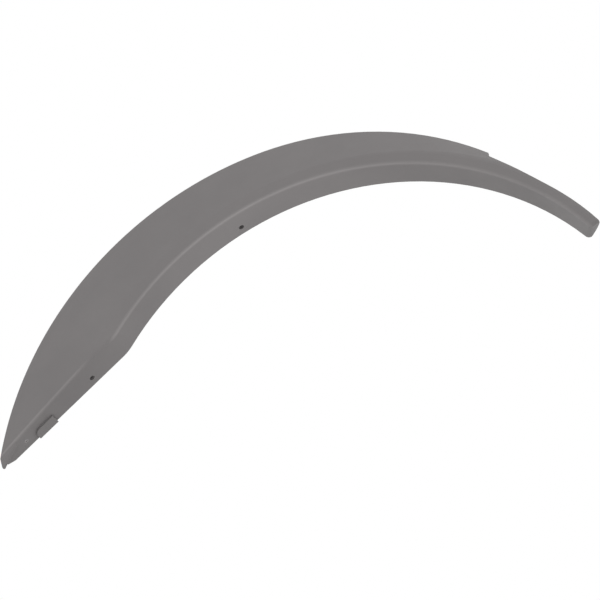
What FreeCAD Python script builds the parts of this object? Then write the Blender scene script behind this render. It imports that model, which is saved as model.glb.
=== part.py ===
import FreeCAD
import Part
import Sketcher
import math
import os

# Wheel-arch mudguard: one moulded shell with a sloping outer face and a deep lip turned in around the wheel.
# It is drawn about the wheel axis, which lies along Y: the wheel is below, the vehicle is at +Y, and the
# face that is seen on the road looks along -Y. The finished body is moved: its upper screw is the origin.

doc = FreeCAD.newDocument("mudguard")

# Driving dimensions in millimetres and degrees. Angles are about the wheel axis, from +X towards +Z.
DIMENSIONS = [
    ("arch_radius", 560.0),
    ("depth", 68.5),
    ("wall", 3.0),
    ("land_width", 26.0),
    ("face_fall", 30.0),
    ("face_rise", 82.0),
    ("face_center_x", -91.0),
    ("face_center_z", 31.0),
    ("rim_rise", 107.5),
    ("rim_center_x", -67.8),
    ("rim_center_z", 9.8),
    ("rim_turn", 102.7),
    ("crown_rise", 16.0),
    ("rim_spare", 20.0),
    ("tail_angle", 36.0),
    ("tail_slant", 19.0),
    ("tail_width", 21.5),
    ("step_place", 271.2),
    ("step_slope", 99.0),
    ("step_height", 14.0),
    ("bend_angle", 150.9),
    ("lower_slope", 41.2),
    ("lower_length", 277.0),
    ("tip_slope", 65.0),
    ("bend_round", 80.0),
    ("toe_round", 40.0),
    ("end_round", 9.0),
    ("shoulder_round", 16.0),
    ("edge_round", 5.0),
    ("tip_end", 58.0),
    ("nose_run", 8.0),
    ("nose_drop", 21.0),
    ("tip_depth", 34.0),
    ("tip_relief", 10.0),
    ("tip_lip", 31.0),
    ("tip_reach", 46.5),
    ("tip_taper", 6.7),
    ("tip_return", 23.5),
    ("web_place", 12.0),
    ("web_start", 26.5),
    ("web_end", 29.2),
    ("tab_start", 34.0),
    ("tab_length", 48.0),
    ("tab_width", 26.0),
    ("tab_thickness", 4.5),
    ("tab_round", 14.0),
    ("screw_angle", 116.0),
    ("screw_setback", 20.5),
    ("screw_radius", 5.5),
    ("lower_screw_place", 189.0),
    ("boss_radius", 11.0),
    ("boss_height", 15.0),
    ("screw_depth", 13.0),
    ("drain_place", 11.5),
    ("drain_radius", 2.2),
]

sheet = doc.addObject("Spreadsheet::Sheet", "sizes")
for row, (alias, value) in enumerate(DIMENSIONS, start=1):
    sheet.set(f"A{row}", alias)
    sheet.set(f"B{row}", str(value))
    sheet.setAlias(f"B{row}", alias)
doc.recompute()

ORIGIN = FreeCAD.Vector(0, 0, 0)
NORMAL = FreeCAD.Vector(0, 0, 1)
START, FINISH, CENTER = range(1, 4)
ROOT = (-1, 1)
TAIL_SPARE = 3.0


def size(alias):
    """Present value of one driving dimension."""
    return float(sheet.get(alias))


face_radius = size("arch_radius") + size("face_rise")
rim_radius = size("arch_radius") + size("rim_rise")
crown_radius = size("arch_radius") + size("crown_rise")


def ray(angle):
    """Unit vector in the wheel plane at an angle in degrees."""
    turn = math.radians(angle)
    return FreeCAD.Vector(math.cos(turn), math.sin(turn), 0.0)


def crossing(start, direction, center, radius, leaving):
    """Point where a ray enters a circle, or leaves it."""
    offset = start - center
    along = offset.dot(direction)
    half = math.sqrt(along**2 - offset.dot(offset) + radius**2)
    return start + direction * (-along + (half if leaving else -half))


def line(start, end):
    """Straight piece of a sketch."""
    return Part.LineSegment(start, end)


def arc(center, start, end):
    """Arc drawn counterclockwise between two points of a circle."""
    out, back = start - center, end - center
    circle = Part.Circle(center, NORMAL, out.Length)
    return Part.ArcOfCircle(circle, math.atan2(out.y, out.x), math.atan2(back.y, back.x))


def new_sketch(body, name, role):
    """Sketch on one of the body's origin planes."""
    sketch = body.newObject("Sketcher::SketchObject", name)
    plane = next(feature for feature in body.Origin.OriginFeatures if feature.Role == role)
    sketch.AttachmentSupport = (plane, [""])
    sketch.MapMode = "FlatFace"
    return sketch


def bind(sketch, name, constraint, formula):
    """Adds a named constraint whose value follows a formula of the sheet."""
    index = sketch.addConstraint(constraint)
    sketch.renameConstraint(index, name)
    sketch.setExpression(f"Constraints.{name}", formula)


def join(sketch, pairs):
    """Makes the ends of neighbouring pieces meet."""
    for first, first_end, second, second_end in pairs:
        sketch.addConstraint(Sketcher.Constraint("Coincident", first, first_end, second, second_end))


def polygon(sketch, points, formulas, label):
    """Closed polygon with each corner held by a pair of formulas."""
    first = sketch.GeometryCount
    count = len(points)
    sketch.addGeometry([line(points[n], points[(n + 1) % count]) for n in range(count)], False)
    join(sketch, [(first + n, FINISH, first + (n + 1) % count, START) for n in range(count)])
    for n, (across, along) in enumerate(formulas):
        rule = Sketcher.Constraint("DistanceX", first + n, START, points[n].x)
        bind(sketch, f"{label}_x_{n}", rule, across)
        bind(sketch, f"{label}_y_{n}", Sketcher.Constraint("DistanceY", first + n, START, points[n].y), along)


def surround(sketch):
    """Large square around the whole side view."""
    side = 2 * size("arch_radius")
    signs = [(-1, -1), (1, -1), (1, 1), (-1, 1)]
    points = [FreeCAD.Vector(x * side, z * side, 0) for x, z in signs]
    formulas = [(f"{x} * 2 * sizes.arch_radius", f"{z} * 2 * sizes.arch_radius") for x, z in signs]
    polygon(sketch, points, formulas, "frame")


def edge_near(feature, point):
    """Name of the feature's edge that passes nearest to a point."""
    probe = Part.Vertex(point)
    gaps = [edge.distToShape(probe)[0] for edge in feature.Shape.Edges]
    return f"Edge{gaps.index(min(gaps)) + 1}"


def checked(feature):
    """Recomputes the document and stops if the feature failed."""
    doc.recompute()
    if "Invalid" in feature.State or "Error" in feature.State or not feature.Shape.isValid():
        raise RuntimeError(f"{feature.Name} failed: {feature.State}")
    return feature


def fillet(body, name, base, points, radius):
    """Rounds the edges of the base that pass through the points."""
    feature = body.newObject("PartDesign::Fillet", name)
    feature.Base = (base, [edge_near(base, point) for point in points])
    feature.setExpression("Radius", radius)
    return checked(feature)


def pocket(body, name, sketch, reverse=False):
    """Cuts the sketch right through the body."""
    before = body.Tip.Shape.Volume
    feature = body.newObject("PartDesign::Pocket", name)
    feature.Profile = sketch
    feature.Type = "ThroughAll"
    feature.Reversed = reverse
    checked(feature)
    if feature.Shape.Volume >= before:
        raise RuntimeError(f"{name} cut nothing")
    return feature


LAND_EDGE = "(sizes.arch_radius + sizes.land_width)"
SPREAD = f"((sizes.arch_radius + sizes.face_rise) - {LAND_EDGE})"
# Steepest run of the face, at its left, and how far the inside of the wall stands in from the outside there.
LEFT_RUN = f"(((sizes.arch_radius + sizes.face_rise) - sizes.face_center_x - {LAND_EDGE}) / sizes.face_fall)"


def face_circle(body, name, inboard, inset):
    """Circle that the sloping face passes through, a distance inboard, drawn in by the wall where inset."""
    deep = f"(({inboard}) / sizes.face_fall)"
    left_inset = f"(({inset}) * sqrt(1 + {LEFT_RUN} ^ 2))"
    sketch = new_sketch(body, name, "XZ_Plane")
    sketch.setExpression(".AttachmentOffset.Base.z", f"-({inboard}) * 1 mm")
    sketch.addGeometry(Part.Circle(FreeCAD.Vector(-1, 1, 0), NORMAL, size("arch_radius")), False)
    radius = f"{LAND_EDGE} + {SPREAD} * {deep} - ({left_inset} + ({inset})) / 2"
    across = f"sizes.face_center_x * {deep} + ({left_inset} - ({inset})) / 2"
    bind(sketch, "radius", Sketcher.Constraint("Radius", 0, size("arch_radius")), radius)
    bind(sketch, "center_x", Sketcher.Constraint("DistanceX", 0, CENTER, -1), across)
    bind(sketch, "center_z", Sketcher.Constraint("DistanceY", 0, CENTER, 1), f"sizes.face_center_z * {deep}")
    return sketch


def toe_point(inset):
    """Corner between the lower lip and the tip, for a wall surface set in by a distance."""
    slope, steep = size("lower_slope"), size("tip_slope")
    outer = ray(size("bend_angle")) * size("arch_radius") - ray(slope) * size("lower_length")
    return outer + (ray(slope + 90) + ray(steep + 90)) * (inset / (1 + math.cos(math.radians(steep - slope))))


def lip_sketch(body, name, inset, inset_mm):
    """Side view of the lip from the tail to the tip, closed well outside the rim."""
    face_center = FreeCAD.Vector(size("face_center_x"), size("face_center_z"), 0)
    outer_radius = face_radius + size("rim_spare")
    lip_radius = size("arch_radius") + inset_mm
    toe = toe_point(inset_mm)
    bend = crossing(toe, ray(size("lower_slope")), ORIGIN, lip_radius, False)
    tip = crossing(toe, -ray(size("tip_slope")), face_center, outer_radius, True)
    tail = ray(size("tail_angle") - TAIL_SPARE)
    outer_tail = crossing(ORIGIN, tail, face_center, outer_radius, True)
    sketch = new_sketch(body, name, "XZ_Plane")
    lip, lower, front, outer, end = range(5)
    sketch.addGeometry(
        [
            arc(ORIGIN, tail * lip_radius, bend),
            line(toe, bend),
            line(tip, toe),
            arc(face_center, outer_tail, tip),
            line(tail * lip_radius, outer_tail),
        ],
        False,
    )
    join(
        sketch,
        [
            (lip, FINISH, lower, FINISH),
            (lower, START, front, FINISH),
            (front, START, outer, FINISH),
            (outer, START, end, FINISH),
            (end, START, lip, START),
            (lip, CENTER, *ROOT),
        ],
    )
    sketch.addConstraint(Sketcher.Constraint("PointOnObject", *ROOT, end))
    miter = f"({inset}) / (1 + cos(sizes.tip_slope - sizes.lower_slope))"
    toe_x = (
        "sizes.arch_radius * cos(sizes.bend_angle) - sizes.lower_length * cos(sizes.lower_slope)"
        f" - {miter} * (sin(sizes.lower_slope) + sin(sizes.tip_slope))"
    )
    toe_z = (
        "sizes.arch_radius * sin(sizes.bend_angle) - sizes.lower_length * sin(sizes.lower_slope)"
        f" + {miter} * (cos(sizes.lower_slope) + cos(sizes.tip_slope))"
    )
    slope, steep = math.radians(size("lower_slope")), math.radians(size("tip_slope"))
    stop = math.radians(size("tail_angle") - TAIL_SPARE)
    bind(sketch, "lip_radius", Sketcher.Constraint("Radius", lip, lip_radius), f"sizes.arch_radius + {inset}")
    bind(sketch, "toe_x", Sketcher.Constraint("DistanceX", lower, START, toe.x), toe_x)
    bind(sketch, "toe_z", Sketcher.Constraint("DistanceY", lower, START, toe.y), toe_z)
    bind(sketch, "lower_slope", Sketcher.Constraint("Angle", lower, slope), "sizes.lower_slope * 1 deg")
    bind(sketch, "tip_slope", Sketcher.Constraint("Angle", front, steep), "sizes.tip_slope * 1 deg")
    rule = Sketcher.Constraint("DistanceX", outer, CENTER, face_center.x)
    bind(sketch, "outer_x", rule, "sizes.face_center_x")
    rule = Sketcher.Constraint("DistanceY", outer, CENTER, face_center.y)
    bind(sketch, "outer_z", rule, "sizes.face_center_z")
    rule = Sketcher.Constraint("Radius", outer, outer_radius)
    bind(sketch, "outer", rule, "(sizes.arch_radius + sizes.face_rise) + sizes.rim_spare")
    rule = Sketcher.Constraint("Angle", end, stop)
    bind(sketch, "stop", rule, f"(sizes.tail_angle - {TAIL_SPARE}) * 1 deg")
    surround(sketch)
    return sketch, toe, bend


def tail_sketch(body, name, inset, inset_mm):
    """Half plane beyond the slanting tail end, seen along the radius; x is inboard, y is up the arch."""
    sketch = new_sketch(body, name, "YZ_Plane")
    turn = FreeCAD.Rotation(FreeCAD.Vector(1, 0, 0), -size("tail_angle"))
    sketch.AttachmentOffset = FreeCAD.Placement(ORIGIN, turn)
    sketch.setExpression(".AttachmentOffset.Rotation.Angle", "-sizes.tail_angle * 1 deg")
    slant = math.radians(size("tail_slant"))
    ends = [-2 * size("wall"), size("depth") + 2 * size("wall")]
    along = [x * math.tan(slant) + inset_mm / math.cos(slant) for x in ends]
    far = -size("arch_radius")
    points = [(ends[0], along[0]), (ends[0], far), (ends[1], far), (ends[1], along[1])]
    front, back = "(-2 * sizes.wall)", "(sizes.depth + 2 * sizes.wall)"
    rise = "{} * tan(sizes.tail_slant) + " + f"({inset}) / cos(sizes.tail_slant)"
    formulas = [
        (front, rise.format(front)),
        (front, "-sizes.arch_radius"),
        (back, "-sizes.arch_radius"),
        (back, rise.format(back)),
    ]
    polygon(sketch, [FreeCAD.Vector(x, y, 0) for x, y in points], formulas, "corner")
    return sketch


def block(name, inset, inset_mm, front, back):
    """Solid inside one surface of the wall: its outside where the inset is nil, and the hollow behind it."""
    body = doc.addObject("PartDesign::Body", name)
    face = body.newObject("PartDesign::AdditiveLoft", f"{name}_face")
    face.Profile = face_circle(body, f"{name}_front_circle", front, inset)
    face.Sections = [face_circle(body, f"{name}_back_circle", back, inset)]
    face.Ruled = True
    checked(face)
    sketch, toe, bend = lip_sketch(body, f"{name}_side", inset, inset_mm)
    doc.recompute()
    pocket(body, f"{name}_side_trim", sketch)
    sketch = tail_sketch(body, f"{name}_tail", inset, inset_mm)
    doc.recompute()
    solid = pocket(body, f"{name}_tail_trim", sketch, True)
    land_rim = FreeCAD.Vector(0, inset_mm, size("arch_radius") + size("land_width"))
    solid = fillet(body, f"{name}_shoulder", solid, [land_rim], f"sizes.shoulder_round - {inset}")
    middle = size("depth") * 0.75
    corner = FreeCAD.Vector(bend.x, middle, bend.y)
    solid = fillet(body, f"{name}_bend", solid, [corner], f"sizes.bend_round - {inset}")
    corner = FreeCAD.Vector(toe.x, middle, toe.y)
    solid = fillet(body, f"{name}_toe", solid, [corner], f"sizes.toe_round + {inset}")
    slant = math.tan(math.radians(size("tail_slant")))
    lip_end = ray(size("tail_angle")) * (size("arch_radius") + inset_mm)
    lip_end = lip_end + ray(size("tail_angle") + 90) * (middle * slant + inset_mm)
    corner = FreeCAD.Vector(lip_end.x, middle, lip_end.y)
    solid = fillet(body, f"{name}_end", solid, [corner], f"sizes.end_round - {inset}")
    crease = FreeCAD.Vector(0, inset_mm, size("arch_radius") + inset_mm)
    return body, fillet(body, f"{name}_crease", solid, [crease], f"sizes.edge_round - {inset}")


mudguard, outside = block("mudguard", "0", 0.0, "0", "sizes.depth")
hollow, inside = block("hollow", "sizes.wall", size("wall"), "sizes.wall", "(sizes.depth + sizes.wall)")
shell = mudguard.newObject("PartDesign::Boolean", "shell")
shell.Type = "Cut"
shell.Group = [hollow]
checked(shell)

TOE_X = "(sizes.arch_radius * cos(sizes.bend_angle) - sizes.lower_length * cos(sizes.lower_slope))"
TOE_Z = "(sizes.arch_radius * sin(sizes.bend_angle) - sizes.lower_length * sin(sizes.lower_slope))"
SCREW_DEPTH = "(sizes.depth - sizes.screw_setback)"
RIM_RADIUS = "(sizes.arch_radius + sizes.rim_rise)"
CROWN_RADIUS = "(sizes.arch_radius + sizes.crown_rise)"


def rim_sketch(name):
    """Side view of all that lies inside the face's outer edge, with its step."""
    rim_center = FreeCAD.Vector(size("rim_center_x"), size("rim_center_z"), 0)
    low = math.asin((size("tip_end") - rim_center.y) / rim_radius)
    rim_end = rim_center + ray(180 - math.degrees(low)) * rim_radius
    nose_end = rim_end + FreeCAD.Vector(size("nose_run"), -size("nose_drop"), 0)
    rim_top = rim_center + ray(size("rim_turn")) * rim_radius
    crown_center = rim_top - ray(size("rim_turn")) * crown_radius
    reach = size("step_place") - crown_center.x
    step_top = crown_center + FreeCAD.Vector(reach, math.sqrt(crown_radius ** 2 - reach**2), 0)
    step_foot = step_top - ray(size("step_slope")) * size("step_height")
    tail_radius = size("arch_radius") + size("tail_width")
    turn = math.acos(tail_radius / step_foot.Length)
    tail_start = ray(math.degrees(math.atan2(step_foot.y, step_foot.x) - turn)) * tail_radius
    tail_stop = ray(size("tail_angle") - TAIL_SPARE) * tail_radius
    sketch = new_sketch(mudguard, name, "XZ_Plane")
    rim, crown, step, fall, tail, end, back, nose, spoke = range(9)
    sketch.addGeometry(
        [
            arc(rim_center, rim_top, rim_end),
            arc(crown_center, step_top, rim_top),
            line(step_foot, step_top),
            line(step_foot, tail_start),
            arc(ORIGIN, tail_stop, tail_start),
            line(ORIGIN, tail_stop),
            line(nose_end, ORIGIN),
            line(rim_end, nose_end),
        ],
        False,
    )
    sketch.addGeometry(line(rim_center, rim_top), True)
    join(
        sketch,
        [
            (crown, START, step, FINISH),
            (step, START, fall, START),
            (tail, START, end, FINISH),
            (end, START, *ROOT),
            (back, FINISH, *ROOT),
            (back, START, nose, FINISH),
            (nose, START, rim, FINISH),
            (tail, CENTER, *ROOT),
            (spoke, START, rim, CENTER),
            (spoke, FINISH, rim, START),
        ],
    )
    sketch.addConstraint(Sketcher.Constraint("Tangent", crown, FINISH, rim, START))
    sketch.addConstraint(Sketcher.Constraint("Tangent", fall, FINISH, tail, FINISH))
    stop = math.radians(size("tail_angle") - TAIL_SPARE)
    top, slope = math.radians(size("rim_turn")), math.radians(size("step_slope"))
    bind(sketch, "rim_x", Sketcher.Constraint("DistanceX", rim, CENTER, rim_center.x), "sizes.rim_center_x")
    bind(sketch, "rim_z", Sketcher.Constraint("DistanceY", rim, CENTER, rim_center.y), "sizes.rim_center_z")
    bind(sketch, "rim_radius", Sketcher.Constraint("Radius", rim, rim_radius), RIM_RADIUS)
    bind(sketch, "rim_end", Sketcher.Constraint("DistanceY", rim, FINISH, rim_end.y), "sizes.tip_end")
    rule = Sketcher.Constraint("DistanceX", nose, START, nose, FINISH, size("nose_run"))
    bind(sketch, "nose_run", rule, "sizes.nose_run")
    rule = Sketcher.Constraint("DistanceY", nose, FINISH, nose, START, size("nose_drop"))
    bind(sketch, "nose_drop", rule, "sizes.nose_drop")
    bind(sketch, "rim_turn", Sketcher.Constraint("Angle", spoke, top), "sizes.rim_turn * 1 deg")
    bind(sketch, "crown", Sketcher.Constraint("Radius", crown, crown_radius), CROWN_RADIUS)
    bind(sketch, "step_x", Sketcher.Constraint("DistanceX", step, FINISH, step_top.x), "sizes.step_place")
    bind(sketch, "step_slope", Sketcher.Constraint("Angle", step, slope), "sizes.step_slope * 1 deg")
    rule = Sketcher.Constraint("Distance", step, size("step_height"))
    bind(sketch, "step_height", rule, "sizes.step_height")
    rule = Sketcher.Constraint("Radius", tail, tail_radius)
    bind(sketch, "tail", rule, "sizes.arch_radius + sizes.tail_width")
    rule = Sketcher.Constraint("Angle", end, stop)
    bind(sketch, "stop", rule, f"(sizes.tail_angle - {TAIL_SPARE}) * 1 deg")
    surround(sketch)
    return sketch


def tip_sketch(name):
    """Square around the turned toe of the lip, at the depth where only the face's tip goes on."""
    sketch = new_sketch(mudguard, name, "XZ_Plane")
    sketch.setExpression(".AttachmentOffset.Base.z", "-sizes.tip_depth * 1 mm")
    toe = toe_point(0.0)
    far = -2 * size("arch_radius")
    right = toe.x + size("tip_relief")
    top = toe.y + 1.5 * size("tip_relief")
    points = [(far, far), (right, far), (right, top), (far, top)]
    corner = "-2 * sizes.arch_radius"
    edge = f"{TOE_X} + sizes.tip_relief"
    upper = f"{TOE_Z} + 1.5 * sizes.tip_relief"
    formulas = [(corner, corner), (edge, corner), (edge, upper), (corner, upper)]
    polygon(sketch, [FreeCAD.Vector(x, z, 0) for x, z in points], formulas, "corner")
    return sketch


def lower_sketch(name):
    """Sketch on the wheel side of the lower lip: x runs up the lip from its toe, y runs inboard."""
    sketch = new_sketch(mudguard, name, "XY_Plane")
    turn = FreeCAD.Rotation(FreeCAD.Vector(0, 1, 0), -size("lower_slope"))
    sketch.AttachmentOffset = FreeCAD.Placement(ORIGIN, turn)
    sketch.setExpression(".AttachmentOffset.Rotation.Angle", "-sizes.lower_slope * 1 deg")
    sketch.setExpression(".AttachmentOffset.Base.x", f"{TOE_X} * 1 mm")
    sketch.setExpression(".AttachmentOffset.Base.z", f"{TOE_Z} * 1 mm")
    return sketch


def arch_sketch(name, standoff="0"):
    """Sketch at the upper screw, off the lip: x is inboard, y is up the arch, z points outwards."""
    radius = f"(sizes.arch_radius - {standoff})"
    sketch = new_sketch(mudguard, name, "YZ_Plane")
    turn = FreeCAD.Rotation(FreeCAD.Vector(1, 0, 0), -size("screw_angle"))
    sketch.AttachmentOffset = FreeCAD.Placement(ORIGIN, turn)
    sketch.setExpression(".AttachmentOffset.Rotation.Angle", "-sizes.screw_angle * 1 deg")
    sketch.setExpression(".AttachmentOffset.Base.y", f"{radius} * sin(sizes.screw_angle) * 1 mm")
    sketch.setExpression(".AttachmentOffset.Base.z", f"{radius} * cos(sizes.screw_angle) * 1 mm")
    return sketch


def circle(sketch, across, along, radius):
    """Circle whose centre and radius follow formulas."""
    sketch.addGeometry(Part.Circle(FreeCAD.Vector(1, 1, 0), NORMAL, 1), False)
    bind(sketch, "across", Sketcher.Constraint("DistanceX", 0, CENTER, 1), across)
    bind(sketch, "along", Sketcher.Constraint("DistanceY", 0, CENTER, 1), along)
    bind(sketch, "radius", Sketcher.Constraint("Radius", 0, 1), radius)
    doc.recompute()
    return sketch


def rectangle(sketch, across, along):
    """Rectangle between two pairs of formulas."""
    corners = [(1, 1), (2, 1), (2, 2), (1, 2)]
    formulas = [(across[x - 1], along[y - 1]) for x, y in corners]
    polygon(sketch, [FreeCAD.Vector(x, y, 0) for x, y in corners], formulas, "corner")
    doc.recompute()
    return sketch


def pad(name, sketch, length, reverse=False):
    """Adds material on a sketch."""
    before = mudguard.Tip.Shape.Volume
    feature = mudguard.newObject("PartDesign::Pad", name)
    feature.Profile = sketch
    feature.setExpression("Length", length)
    feature.Reversed = reverse
    checked(feature)
    if feature.Shape.Volume <= before:
        raise RuntimeError(f"{name} added nothing")
    return feature


def hole(name, sketch, length):
    """Cuts a round hole from the wheel side to a depth."""
    before = mudguard.Tip.Shape.Volume
    feature = mudguard.newObject("PartDesign::Pocket", name)
    feature.Profile = sketch
    feature.Reversed = True
    feature.setExpression("Length", length)
    checked(feature)
    if feature.Shape.Volume >= before:
        raise RuntimeError(f"{name} cut nothing")
    return feature


sketch = rim_sketch("rim_outline")
doc.recompute()
pocket(mudguard, "rim_trim", sketch)
sketch = tip_sketch("tip_outline")
doc.recompute()
pocket(mudguard, "tip_cut", sketch)

# Behind the tip the lip runs straight on and tapers off, and a web in the skin joins it to the face.
sketch = lower_sketch("tip_lip_outline")
formulas = [
    ("-sizes.tip_lip", "sizes.web_end"),
    ("-sizes.web_place", "sizes.web_start"),
    ("-sizes.web_place", "sizes.tip_depth - 1"),
    ("2 * sizes.tip_relief", "sizes.tip_depth - 1"),
    ("2 * sizes.tip_relief", "sizes.depth"),
    ("-sizes.tip_lip", "sizes.depth"),
    ("-sizes.tip_reach", "sizes.depth - sizes.tip_taper"),
    ("-sizes.tip_reach", "sizes.depth - sizes.tip_return"),
]
guess = [(-3, 1), (-2, 0), (-2, 2), (2, 2), (2, 4), (-3, 4), (-4, 3), (-4, 2)]
polygon(sketch, [FreeCAD.Vector(x, y, 0) for x, y in guess], formulas, "corner")
doc.recompute()
pad("tip_lip", sketch, "sizes.wall")

# Low raised tab on the wheel side of the lower lip, rounded at its front corner.
run = ("sizes.tab_start", "sizes.tab_start + sizes.tab_length")
sketch = rectangle(lower_sketch("tab_outline"), run, ("sizes.depth - sizes.tab_width", "sizes.depth"))
tab = pad("tab", sketch, "sizes.tab_thickness", True)
along, up = ray(size("lower_slope")), ray(size("lower_slope") + 90)
corner = toe_point(0.0) + along * size("tab_start") - up * (size("tab_thickness") / 2)
corner = FreeCAD.Vector(corner.x, size("depth") - size("tab_width"), corner.y)
fillet(mudguard, "tab_corner", tab, [corner], "sizes.tab_round")

# Screw bosses behind the lip, and their blind holes from the wheel side.
upper_boss = circle(arch_sketch("upper_boss_outline"), SCREW_DEPTH, "0", "sizes.boss_radius")
pad("upper_boss", upper_boss, "sizes.boss_height")
place = "sizes.lower_screw_place"
lower_boss = circle(lower_sketch("lower_boss_outline"), place, SCREW_DEPTH, "sizes.boss_radius")
pad("lower_boss", lower_boss, "sizes.boss_height")
mouth = arch_sketch("upper_screw_outline", "sizes.wall")
upper_screw = circle(mouth, SCREW_DEPTH, "0", "sizes.screw_radius")
hole("upper_screw", upper_screw, "sizes.screw_depth + sizes.wall")
lower_screw = circle(lower_sketch("lower_screw_outline"), place, SCREW_DEPTH, "sizes.screw_radius")
hole("lower_screw", lower_screw, "sizes.screw_depth")
drain = circle(lower_sketch("drain_outline"), "sizes.drain_place", SCREW_DEPTH, "sizes.drain_radius")
hole("drain", drain, "2 * sizes.wall")

# The upper lip screw is the origin of the finished part.
mudguard.Label = "mudguard"
mudguard.setExpression(".Placement.Base.x", "-sizes.arch_radius * cos(sizes.screw_angle) * 1 mm")
mudguard.setExpression(".Placement.Base.y", "-(sizes.depth - sizes.screw_setback) * 1 mm")
mudguard.setExpression(".Placement.Base.z", "-sizes.arch_radius * sin(sizes.screw_angle) * 1 mm")
doc.recompute()

for item in doc.Objects:
    if "Invalid" in item.State or "Error" in item.State:
        raise RuntimeError(f"{item.Name} failed: {item.State}")
    if item.isDerivedFrom("PartDesign::Feature") and (item.Shape.isNull() or not item.Shape.isValid()):
        raise RuntimeError(f"{item.Name} has no sound shape")
if len(mudguard.Shape.Solids) != 1:
    raise RuntimeError("the mudguard is not one solid")

os.makedirs("parts", exist_ok=True)
mudguard.Shape.exportStep("parts/mudguard.step")
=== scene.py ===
"""Studio scene of a grey moulded wheel-arch mudguard, seen from below and in front on white.

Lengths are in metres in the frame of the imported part: the origin is the mouth of the upper
screw hole, X runs towards the tail, Y inboard and Z up.
"""

import math

import bpy
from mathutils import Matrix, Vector

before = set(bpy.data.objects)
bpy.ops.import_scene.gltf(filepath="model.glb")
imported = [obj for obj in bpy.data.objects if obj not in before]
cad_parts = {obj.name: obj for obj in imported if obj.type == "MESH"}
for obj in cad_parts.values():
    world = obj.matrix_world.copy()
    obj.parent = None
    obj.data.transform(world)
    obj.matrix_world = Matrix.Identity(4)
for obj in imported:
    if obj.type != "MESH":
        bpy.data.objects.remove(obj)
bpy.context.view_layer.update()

# Camera
EYE = Vector((0.98735, -2.50814, -1.71522))
AIM = Vector((0.14111, -0.048, -0.22137))
FIELD_OF_VIEW = math.radians(21.4528)
CLIP_END = 200.0

# Room
WHITE = (1.0, 1.0, 1.0, 1.0)
SEEN_STRENGTH = 1.0
LIT_STRENGTH = 0.745
FLOOR_HEIGHT = -3.2
FLOOR_SIZE = 60.0
PAPER = (0.9, 0.9, 0.9, 1.0)
PAPER_ROUGHNESS = 0.9

# Plastic
GREY = (0.202, 0.191, 0.190, 1.0)
DARK_GREY = (0.185, 0.175, 0.175, 1.0)
DARK_STOP = 0.3
GREY_STOP = 0.7
CLOUDS = {"Scale": 7.0, "Detail": 3.0, "Roughness": 0.55}
SHEEN = {"Scale": 40.0, "Detail": 2.0, "Roughness": 0.5}
GRAIN = {"Scale": 900.0, "Detail": 2.0, "Roughness": 0.6}
LEAST_ROUGHNESS = 0.5
MOST_ROUGHNESS = 0.62
GRAIN_STRENGTH = 0.12
GRAIN_HEIGHT = 0.0004
SPECULAR_LEVEL = 0.35

# Painted highlight on the crease: the colour is lightened in a line where light catches the
# rounding. Over the arch its middle is a radius about the wheel axis and a depth along Y. Down the
# lower stretch the crease's depth changes, so only the height above the lip counts there, on
# surfaces that face forwards.
WHEEL_AXIS = (0.24549, 0.0, -0.50332)
ARCH_CREASE = (0.5607, -0.0453)
ARCH_HALF = 0.0056
LOWER_BEND = (-0.24382, 0.0, -0.23098)
LOWER_NORMAL = (-0.65869, 0.0, 0.75241)
LOWER_CREASE = (0.0034, 0.0)
LOWER_HALF = 0.0038
FADE_START = -0.045
FADE_END = -0.085
LEAST_FACING = 0.05
FULL_FACING = 0.3
CREASE_HIGHLIGHT_GAIN = 0.33

# Painted light spot round the small hole near the tip, standing in for light seen through the hole
SMALL_HOLE = (-0.44458, 0.0, -0.40473)
HOLE_LIGHT_REACH = 0.0056
HOLE_LIGHT_GAIN = 1.1

ALONG_X = (1.0, 0.0, 0.0)
INBOARD = (0.0, 1.0, 0.0)
FORWARDS = (0.0, -1.0, 0.0)
SIDE_PLANE = (1.0, 0.0, 1.0)
SCALAR_OPERATIONS = ("DOT_PRODUCT", "LENGTH")


def node(tree, kind, **values):
    """New shader node with its inputs set by name."""
    made = tree.nodes.new(kind)
    for name, value in values.items():
        made.inputs[name.replace("_", " ")].default_value = value
    return made


def linked(tree, kind, sources, operation=None, **values):
    """Output of a new shader node whose inputs take sockets or plain values, in their order."""
    made = node(tree, kind, **values)
    if operation:
        made.operation = operation
    for index, source in enumerate(sources):
        if hasattr(source, "is_linked"):
            tree.links.new(source, made.inputs[index])
        else:
            made.inputs[index].default_value = source
    return made.outputs["Value"] if operation in SCALAR_OPERATIONS else made.outputs[0]


def maths(tree, operation, *sources):
    """Result of a sum on numbers."""
    return linked(tree, "ShaderNodeMath", sources, operation)


def vectors(tree, operation, *sources):
    """Result of a sum on vectors."""
    return linked(tree, "ShaderNodeVectorMath", sources, operation)


def ramp(tree, value, start, end):
    """0 at a value's start and beyond, rising to 1 at its end."""
    return linked(tree, "ShaderNodeMapRange", [value], From_Min=start, From_Max=end)


def near(tree, gap, reach):
    """1 where a vector has no length, falling off to 0 where it is as long as a reach."""
    return ramp(tree, vectors(tree, "LENGTH", gap), reach, 0.0)


def near_crease(tree, height, depth, middle, reach):
    """1 on the crease's middle in a section across it, falling off to 0 on both sides."""
    section = linked(tree, "ShaderNodeCombineXYZ", [height, depth, 0.0])
    return near(tree, vectors(tree, "SUBTRACT", section, (*middle, 0.0)), reach)


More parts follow.
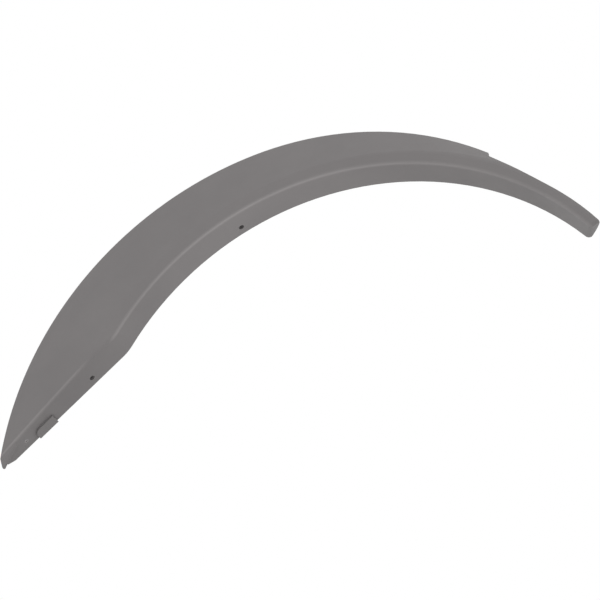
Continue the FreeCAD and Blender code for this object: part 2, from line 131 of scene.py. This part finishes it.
def crease_highlight_mask(tree, coords):
    """Painted highlight on the rounded crease, over the arch and, after a gap, down the lower
    stretch.
    """
    spot = coords.outputs["Object"]
    from_axis = vectors(tree, "SUBTRACT", spot, WHEEL_AXIS)
    radius = vectors(tree, "LENGTH", vectors(tree, "MULTIPLY", from_axis, SIDE_PLANE))
    depth = vectors(tree, "DOT_PRODUCT", spot, INBOARD)
    arch = near_crease(tree, radius, depth, ARCH_CREASE, ARCH_HALF)

    from_bend = vectors(tree, "SUBTRACT", spot, LOWER_BEND)
    height = vectors(tree, "DOT_PRODUCT", from_bend, LOWER_NORMAL)
    straight = near_crease(tree, height, 0.0, LOWER_CREASE, LOWER_HALF)
    along = vectors(tree, "DOT_PRODUCT", from_bend, ALONG_X)
    below = ramp(tree, along, FADE_START, FADE_END)
    facing = vectors(tree, "DOT_PRODUCT", coords.outputs["Normal"], FORWARDS)
    front = ramp(tree, facing, LEAST_FACING, FULL_FACING)
    lower = maths(tree, "MULTIPLY", straight, maths(tree, "MULTIPLY", below, front))
    return maths(tree, "MAXIMUM", arch, lower)


def hole_light_mask(tree, coords):
    """Painted light spot round the small hole, standing in for light seen through it."""
    return near(tree, vectors(tree, "SUBTRACT", coords.outputs["Object"], SMALL_HOLE), HOLE_LIGHT_REACH)


def noise(tree, coords, settings):
    """Noise through the part, from 0 to 1."""
    made = node(tree, "ShaderNodeTexNoise", **settings)
    tree.links.new(coords.outputs["Object"], made.inputs["Vector"])
    return made.outputs["Fac"]


def moulded_plastic():
    """Matte grey plastic, slightly cloudy, with a fine grain, a painted highlight on the crease
    and a painted light spot at the small hole.
    """
    material = bpy.data.materials.new("moulded_grey_plastic")
    material.use_nodes = True
    tree = material.node_tree
    surface = tree.nodes["Principled BSDF"]
    coords = tree.nodes.new("ShaderNodeTexCoord")

    tint = tree.nodes.new("ShaderNodeValToRGB")
    dark, grey = tint.color_ramp.elements
    dark.position, dark.color = DARK_STOP, DARK_GREY
    grey.position, grey.color = GREY_STOP, GREY
    tree.links.new(noise(tree, coords, CLOUDS), tint.inputs["Fac"])
    # Painted highlight: the crease mask lightens the base colour.
    highlighted = maths(tree, "MULTIPLY_ADD", crease_highlight_mask(tree, coords), CREASE_HIGHLIGHT_GAIN, 1.0)
    # Painted light spot: the small hole's mask lightens the base colour too.
    gain = maths(tree, "MULTIPLY_ADD", hole_light_mask(tree, coords), HOLE_LIGHT_GAIN, highlighted)
    shade = tree.nodes.new("ShaderNodeVectorMath")
    shade.operation = "SCALE"
    tree.links.new(tint.outputs["Color"], shade.inputs["Vector"])
    tree.links.new(gain, shade.inputs["Scale"])
    tree.links.new(shade.outputs["Vector"], surface.inputs["Base Color"])

    rough = node(tree, "ShaderNodeMapRange", To_Min=LEAST_ROUGHNESS, To_Max=MOST_ROUGHNESS)
    tree.links.new(noise(tree, coords, SHEEN), rough.inputs["Value"])
    tree.links.new(rough.outputs["Result"], surface.inputs["Roughness"])

    bump = node(tree, "ShaderNodeBump", Strength=GRAIN_STRENGTH, Distance=GRAIN_HEIGHT)
    tree.links.new(noise(tree, coords, GRAIN), bump.inputs["Height"])
    tree.links.new(bump.outputs["Normal"], surface.inputs["Normal"])
    surface.inputs["Specular IOR Level"].default_value = SPECULAR_LEVEL
    return material


def aimed(made, place, target):
    """Puts a light or the camera at a place, looking at a target."""
    made.location = place
    made.rotation_euler = (Vector(target) - Vector(place)).to_track_quat("-Z", "Y").to_euler()
    bpy.context.collection.objects.link(made)
    return made


def area_light(name, place, target, size, power):
    """Square soft light."""
    light = bpy.data.lights.new(name, "AREA")
    light.size = size
    light.energy = power
    return aimed(bpy.data.objects.new(name, light), place, target)


def white_room():
    """World that is white to the camera and in reflections, and a softer light to the object."""
    world = bpy.data.worlds.new("white_room")
    bpy.context.scene.world = world
    world.use_nodes = True
    tree = world.node_tree
    tree.nodes.clear()
    rays = tree.nodes.new("ShaderNodeLightPath").outputs
    seen = node(tree, "ShaderNodeBackground", Color=WHITE, Strength=SEEN_STRENGTH)
    lit = node(tree, "ShaderNodeBackground", Color=WHITE, Strength=LIT_STRENGTH)
    mix = tree.nodes.new("ShaderNodeMixShader")
    out = tree.nodes.new("ShaderNodeOutputWorld")
    mirrored = maths(tree, "MAXIMUM", rays["Is Glossy Ray"], rays["Is Transmission Ray"])
    white = maths(tree, "MAXIMUM", rays["Is Camera Ray"], mirrored)
    tree.links.new(white, mix.inputs["Fac"])
    tree.links.new(lit.outputs["Background"], mix.inputs[1])
    tree.links.new(seen.outputs["Background"], mix.inputs[2])
    tree.links.new(mix.outputs["Shader"], out.inputs["Surface"])


def pale_floor():
    """Pale floor far below, which lights the underside."""
    bpy.ops.mesh.primitive_plane_add(size=FLOOR_SIZE, location=(0.0, 0.0, FLOOR_HEIGHT))
    floor = bpy.context.object
    floor.name = "floor"
    paper = bpy.data.materials.new("white_paper")
    paper.use_nodes = True
    surface = paper.node_tree.nodes["Principled BSDF"]
    surface.inputs["Base Color"].default_value = PAPER
    surface.inputs["Roughness"].default_value = PAPER_ROUGHNESS
    floor.data.materials.append(paper)


plastic = moulded_plastic()
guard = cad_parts["mudguard"]
guard.data.materials.clear()
guard.data.materials.append(plastic)

white_room()
pale_floor()
area_light(
    "front_light", place=(-0.9, -2.4, 0.5), target=(0.0, 0.0, 0.0), size=2.0, power=7.5
)
area_light("top_light", place=(0.9, -1.0, 2.4), target=(0.1, 0.0, 0.0), size=2.0, power=7.5)
area_light("low_light", place=(1.2, -1.2, -2.4), target=(0.1, 0.0, 0.0), size=2.0, power=12.0)
arch_light = area_light(
    "arch_light", place=(0.1455, 0.0, -0.303), target=(0.009, 0.0, 0.004), size=0.15, power=0.23
)
arch_light.visible_camera = False

camera_data = bpy.data.cameras.new("camera")
camera_data.sensor_fit = "HORIZONTAL"
camera_data.angle = FIELD_OF_VIEW
camera_data.clip_end = CLIP_END
camera = aimed(bpy.data.objects.new("camera", camera_data), EYE, AIM)
scene = bpy.context.scene
scene.camera = camera
scene.view_settings.view_transform = "Standard"
